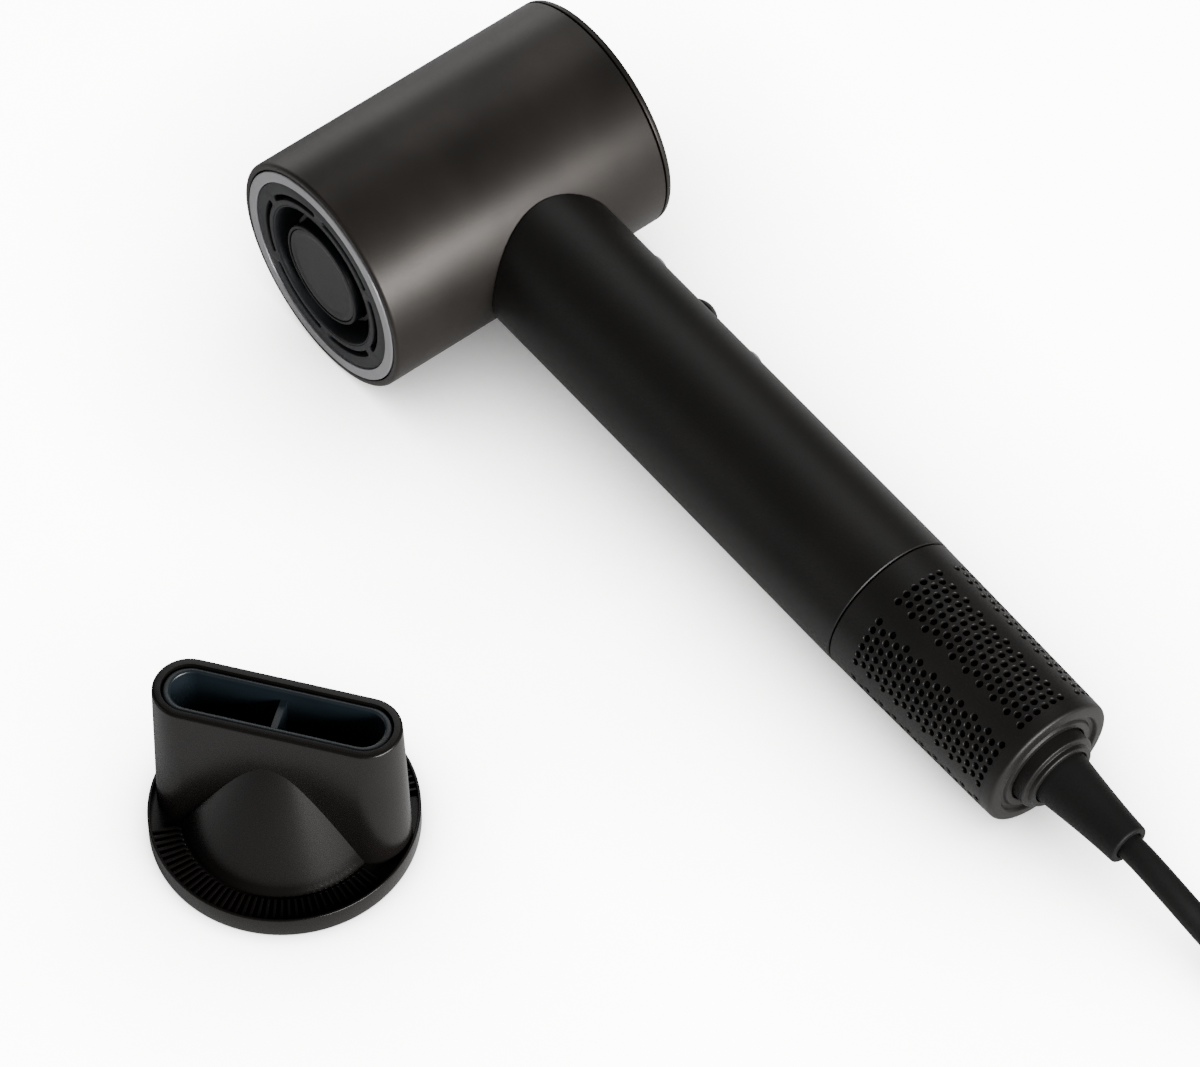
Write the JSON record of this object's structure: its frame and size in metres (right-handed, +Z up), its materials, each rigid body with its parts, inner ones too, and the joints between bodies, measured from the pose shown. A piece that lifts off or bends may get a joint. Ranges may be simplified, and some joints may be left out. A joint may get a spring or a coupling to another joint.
{
  "type": "hair dryer",
  "caption": "Hair dryer with a round head, ring-shaped outlet, straight handle, slide-off perforated inlet cage, coiled cord with plug and a loose slot nozzle.",
  "frame": {"origin": "middle of the underside of the box round the dryer and its nozzle, without the cord, on the surface they lie on", "axes": "+X along the handle towards the cord, +Y towards the back of the head so that the outlet faces -Y, +Z up"},
  "size_m": [0.4835, 0.3364, 0.072],
  "materials": {
    "casing": "satin",
    "handle_shell": "matte",
    "silver_trim": "satin",
    "grille": "satin",
    "outlet_disc": "satin",
    "inner_plastic": "matte",
    "nozzle_shell": "satin",
    "nozzle_liner": "matte",
    "cord_rubber": "matte",
    "steel": "bright",
    "magnet": "satin",
    "mica": "matte",
    "board": "satin"
  },
  "bodies": {
    "dryer": {"head_shell": "casing", "rear_cap": "casing", "silver_ring": "silver_trim", "outlet_grille": "grille", "centre_core": "inner_plastic", "centre_disc": "outlet_disc", "core_spider": "inner_plastic", "outlet_duct": "inner_plastic", "heater_former": "mica", "heater_element": "steel", "thermal_cutout": "steel", "ion_emitter": "steel", "outlet_magnet": "magnet", "handle_tube": "handle_shell", "control_board": "board", "speed_switch": "inner_plastic", "power_switch": "inner_plastic", "heat_switch": "inner_plastic", "motor_housing": "inner_plastic", "motor_mount_upper": "cord_rubber", "motor_mount_lower": "cord_rubber", "stator_core": "steel", "inlet_frame": "inner_plastic", "end_collar": "inner_plastic", "strain_relief": "cord_rubber", "power_cord": "cord_rubber", "cord_coil": "cord_rubber", "cord_tie": "cord_rubber", "plug_lead": "cord_rubber", "plug_body": "cord_rubber", "plug_pin_1": "steel", "plug_pin_2": "steel"},
    "rotor": {"rotor_magnet": "magnet", "motor_shaft": "steel", "impeller": "steel"},
    "cage": {"filter_cage": "handle_shell", "filter_sleeve": "inner_plastic"},
    "speed_key": {"speed_button": "silver_trim"},
    "power_key": {"power_button": "inner_plastic"},
    "heat_key": {"heat_button": "silver_trim"},
    "nozzle": {"nozzle_base": "nozzle_shell", "nozzle_magnet": "magnet", "nozzle_shell": "nozzle_shell", "nozzle_liner": "nozzle_liner"}
  },
  "joints": [
    {"name": "rotor_spin", "type": "hinge", "parent": "dryer", "child": "rotor", "pos_m": [0.015, 0.07955, 0.02754], "axis": [0.9978, 0.0244, -0.0618], "continuous": true},
    {"name": "cage_slide", "type": "slide", "parent": "dryer", "child": "cage", "axis": [0.9978, 0.0244, -0.0618], "range_m": [0, 0.063]},
    {"name": "speed_press", "type": "slide", "parent": "dryer", "child": "speed_key", "axis": [0.0244, -0.9997, -0.0015], "range_m": [0, 0.001], "stiffness_N_per_m": 500, "springref_m": -0.0005},
    {"name": "power_press", "type": "slide", "parent": "dryer", "child": "power_key", "axis": [0.0244, -0.9997, -0.0015], "range_m": [0, 0.001], "stiffness_N_per_m": 500, "springref_m": -0.0005},
    {"name": "heat_press", "type": "slide", "parent": "dryer", "child": "heat_key", "axis": [0.0244, -0.9997, -0.0015], "range_m": [0, 0.001], "stiffness_N_per_m": 500, "springref_m": -0.0005},
    {"name": "nozzle_lift", "type": "slide", "parent": "dryer", "child": "nozzle", "axis": [0, 0, 1], "range_m": [0, 0.12]}
  ]
}
